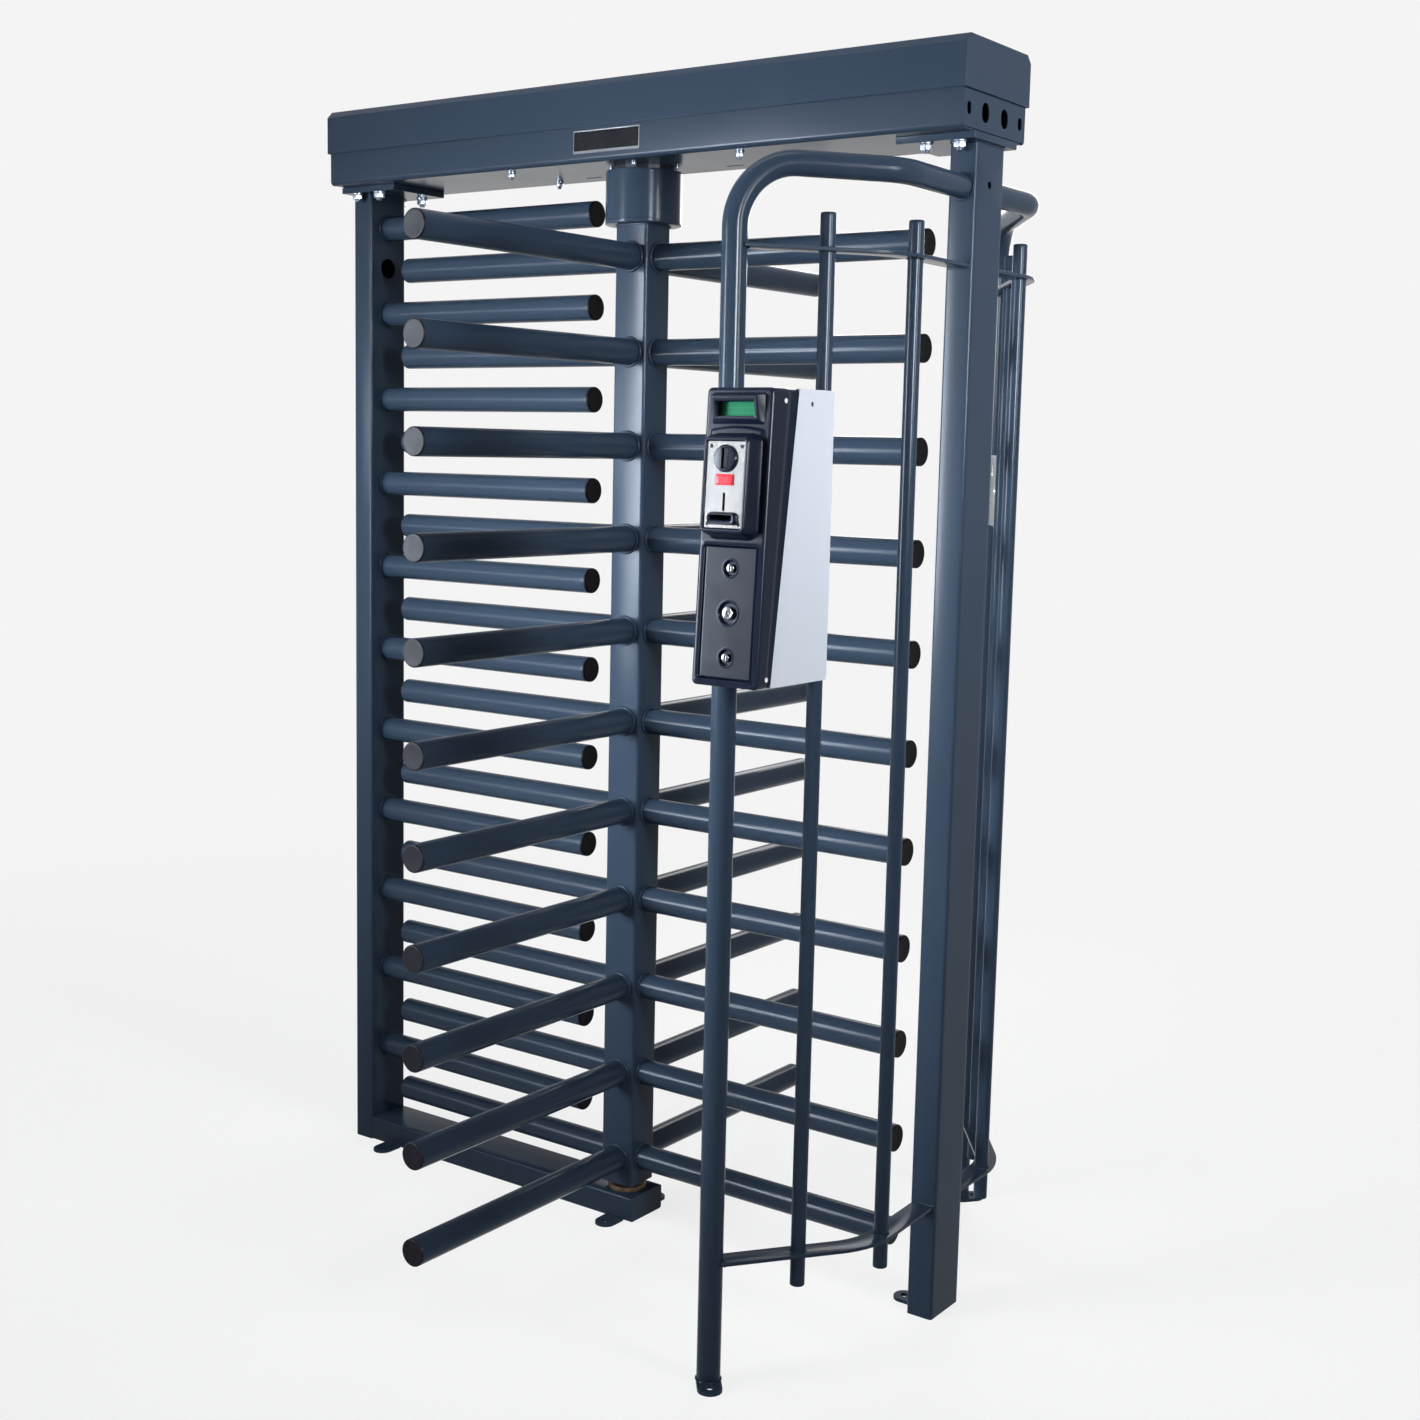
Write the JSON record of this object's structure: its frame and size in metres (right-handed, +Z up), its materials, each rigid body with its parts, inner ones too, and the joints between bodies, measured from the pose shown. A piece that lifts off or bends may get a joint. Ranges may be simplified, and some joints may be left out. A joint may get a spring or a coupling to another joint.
{
  "type": "full height turnstile",
  "caption": "Full height turnstile: a four-winged rotor of round arms between a comb of fixed bars and a cage of bent tube, under a lockable head beam, with a coin unit.",
  "frame": {"origin": "the rotor's axis at floor level, on the underside of the floor rail", "axes": "+X along the head beam to the passage side, +Y to the back, +Z up along the rotor's axis"},
  "size_m": [1.47, 1.23, 2.2],
  "materials": {
    "powder_coat": "satin slate-blue powder coat with a fine sparkle",
    "zinc_plated": "zinc plated",
    "bare_steel": "turned, bare",
    "bronze": "turned, dull",
    "grey_sheet": "light grey paint, satin",
    "black_moulding": "black, fine grain",
    "stainless": "bright, brushed",
    "red_button": "glossy red",
    "display_green": "glossy dark green",
    "board": "green printed board"
  },
  "bodies": {
    "frame": {"left_post": "powder_coat", "right_post": "powder_coat", "base_rail": "powder_coat", "left_head_plate": "powder_coat", "right_head_plate": "powder_coat", "comb_bar_01": "powder_coat", "comb_bar_02": "powder_coat", "comb_bar_03": "powder_coat", "comb_bar_04": "powder_coat", "comb_bar_05": "powder_coat", "comb_bar_06": "powder_coat", "comb_bar_07": "powder_coat", "comb_bar_08": "powder_coat", "comb_bar_09": "powder_coat", "comb_bar_10": "powder_coat", "comb_bar_11": "powder_coat", "foot_pin": "bare_steel", "foot_thrust_washer": "bronze", "bearing_housing": "bare_steel", "top_bearing": "bare_steel", "beam_tray": "powder_coat", "mechanism_plate": "zinc_plated", "solenoid_right": "zinc_plated", "solenoid_left": "zinc_plated", "control_board": "board", "front_hoop": "powder_coat", "front_band_lower": "powder_coat", "front_band_upper": "powder_coat", "front_cage_bar_1": "powder_coat", "front_cage_bar_2": "powder_coat", "back_hoop": "powder_coat", "back_band_lower": "powder_coat", "back_band_upper": "powder_coat", "back_cage_bar_1": "powder_coat", "back_cage_bar_2": "powder_coat", "rear_reader_plate": "zinc_plated", "coin_housing": "grey_sheet", "unit_clamp_1": "zinc_plated", "unit_clamp_2": "zinc_plated", "coin_front": "black_moulding", "display": "display_green", "coin_plate": "stainless", "coin_entry": "black_moulding", "coin_validator": "black_moulding", "cash_box": "zinc_plated"},
    "rotor": {"rotor": "powder_coat", "foot_bush": "bronze", "hub_cup": "powder_coat", "rotor_shaft": "bare_steel", "lock_disc": "bare_steel"},
    "beam_lid": {"beam_lid": "powder_coat"},
    "pawl_right": {"pawl_right": "bare_steel"},
    "pawl_left": {"pawl_left": "bare_steel"},
    "plunger_right": {"plunger_right": "bare_steel"},
    "plunger_left": {"plunger_left": "bare_steel"},
    "reject_button": {"reject_button": "red_button"},
    "cash_door": {"cash_door": "black_moulding"},
    "lock_upper": {"lock_upper": "zinc_plated"},
    "lock_main": {"lock_main": "zinc_plated"},
    "lock_lower": {"lock_lower": "zinc_plated"}
  },
  "joints": [
    {"name": "rotor_turn", "type": "hinge", "parent": "frame", "child": "rotor", "pos_m": [0, 0, 1], "axis": [0, 0, 1], "continuous": true},
    {"name": "lid_lift", "type": "slide", "parent": "frame", "child": "beam_lid", "axis": [0, 0, 1], "range_m": [0, 0.15]},
    {"name": "pawl_right_turn", "type": "hinge", "parent": "frame", "child": "pawl_right", "pos_m": [0.086, -0.06, 2.1], "axis": [0, 0, 1], "range_deg": [0, 12]},
    {"name": "pawl_left_turn", "type": "hinge", "parent": "frame", "child": "pawl_left", "pos_m": [-0.086, 0.06, 2.1], "axis": [0, 0, 1], "range_deg": [0, 12]},
    {"name": "plunger_right_slide", "type": "slide", "parent": "frame", "child": "plunger_right", "axis": [-1, 0, 0], "range_m": [0, 0.0114]},
    {"name": "plunger_left_slide", "type": "slide", "parent": "frame", "child": "plunger_left", "axis": [1, 0, 0], "range_m": [0, 0.0114]},
    {"name": "reject_button_push", "type": "slide", "parent": "frame", "child": "reject_button", "axis": [0, 0.9982, -0.0606], "range_m": [0, 0.003], "stiffness_N_per_m": 400, "springref_m": -0.001},
    {"name": "cash_door_swing", "type": "hinge", "parent": "frame", "child": "cash_door", "pos_m": [0.5743, -0.58428, 1.28668], "axis": [0, -0.0606, -0.9982], "range_deg": [0, 90]},
    {"name": "lock_upper_turn", "type": "hinge", "parent": "cash_door", "child": "lock_upper", "pos_m": [0.6213, -0.58022, 1.35355], "axis": [0, -0.9982, 0.0606], "range_deg": [0, 90]},
    {"name": "lock_main_turn", "type": "hinge", "parent": "cash_door", "child": "lock_main", "pos_m": [0.6213, -0.58428, 1.28668], "axis": [0, -0.9982, 0.0606], "range_deg": [0, 90]},
    {"name": "lock_lower_turn", "type": "hinge", "parent": "cash_door", "child": "lock_lower", "pos_m": [0.6213, -0.58834, 1.2198], "axis": [0, 0.9982, -0.0606], "range_deg": [0, 90]}
  ],
  "couplings": [
    {"joint": "plunger_right_slide", "follows": "pawl_right_turn", "m_per_rad": 0.0544},
    {"joint": "plunger_left_slide", "follows": "pawl_left_turn", "m_per_rad": 0.0544}
  ]
}
